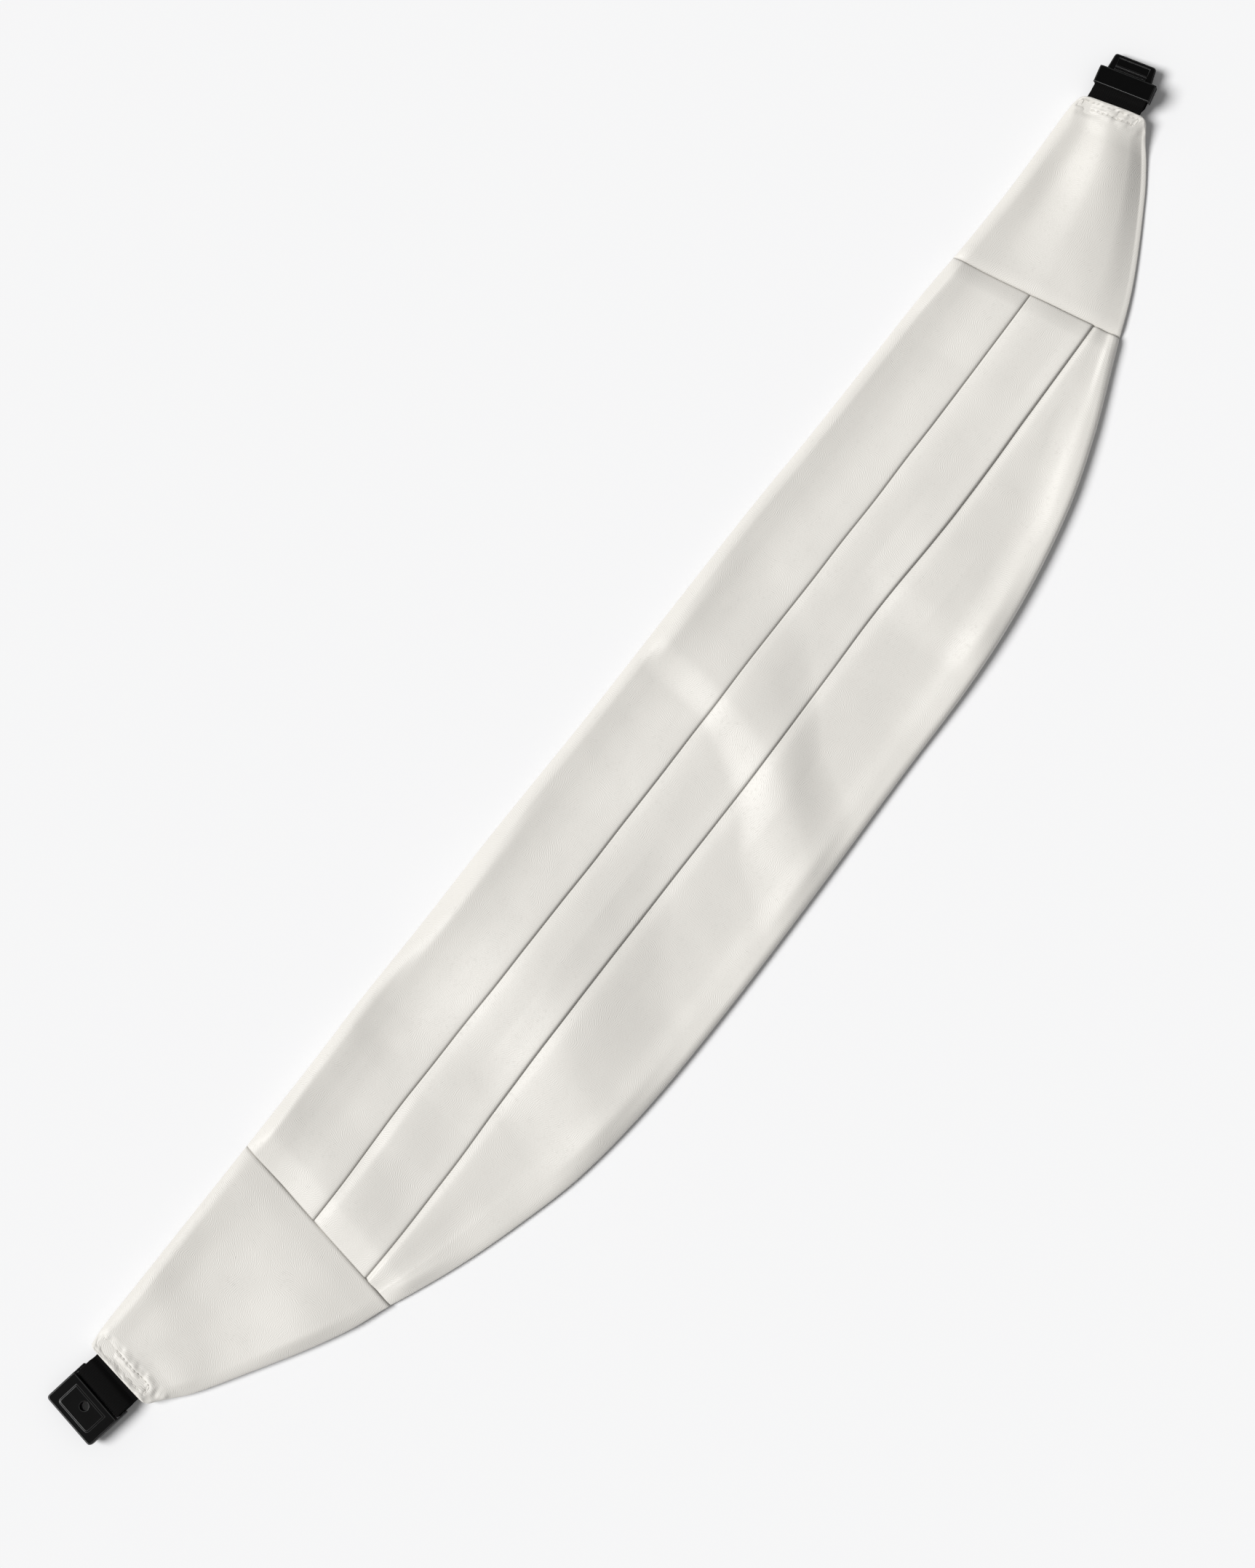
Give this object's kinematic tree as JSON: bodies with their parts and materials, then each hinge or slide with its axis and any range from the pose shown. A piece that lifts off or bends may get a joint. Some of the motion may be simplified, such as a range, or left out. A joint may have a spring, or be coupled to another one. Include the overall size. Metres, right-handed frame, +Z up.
{
  "type": "cummerbund",
  "caption": "Pleated ivory cloth waist sash lying flat, with tapered side tabs, short black elastic ends and a two-part black plastic clasp.",
  "frame": {"origin": "middle of the outline's box, on the surface that the cloth lies on", "axes": "+X from the socket half of the clasp to the plug half, +Y towards the straight upper edge, +Z up out of the front face"},
  "size_m": [0.7148, 0.1214, 0.0114],
  "materials": {
    "cloth": "ivory crepe-backed satin with a fine grain",
    "tab_cloth": "the same ivory cloth, turned and topstitched at the hem",
    "elastic": "black woven elastic",
    "clasp_plastic": "black moulded plastic, satin"
  },
  "bodies": {
    "root": {"pleated_front": "cloth", "left_tab": "tab_cloth", "right_tab": "tab_cloth", "left_elastic": "elastic", "right_elastic": "elastic", "socket_clasp": "clasp_plastic", "plug_clasp": "clasp_plastic"}
  },
  "joints": []
}
